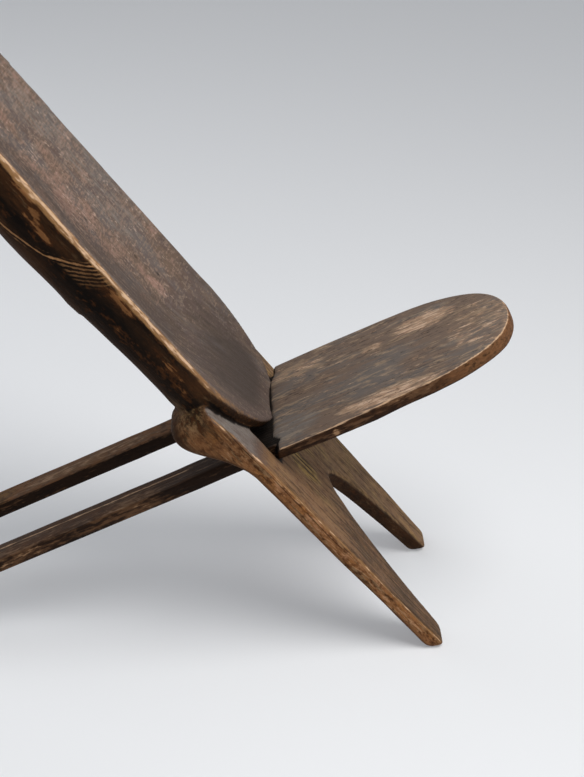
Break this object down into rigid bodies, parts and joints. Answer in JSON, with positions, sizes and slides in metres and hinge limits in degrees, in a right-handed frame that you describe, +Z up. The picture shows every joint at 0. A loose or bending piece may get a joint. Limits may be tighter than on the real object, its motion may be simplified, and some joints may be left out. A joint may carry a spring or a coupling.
{
  "type": "palaver chair",
  "caption": "Low chair of crossing carved planks: a scooped back with forked front legs, and a round-ended seat whose tail passes through the back's slot to become the rear legs.",
  "frame": {"origin": "on the floor under the middle of the chair's outer box", "axes": "+X forwards, the way a sitter faces, +Y to the sitter's left, +Z up"},
  "size_m": [0.9066, 0.3036, 0.7811],
  "materials": {
    "back_wood": "old dark hardwood, hand-hewn, rubbed to a dull sheen on the rims",
    "seat_wood": "old dark hardwood, grey-brown and matte, paler where worn"
  },
  "bodies": {
    "back": {"back_plank": "back_wood"},
    "seat": {"seat_plank": "seat_wood"}
  },
  "joints": [
    {"name": "seat_slide", "type": "slide", "parent": "back", "child": "seat", "axis": [0.9018, 0, 0.4321], "range_m": [0, 0.69]}
  ]
}
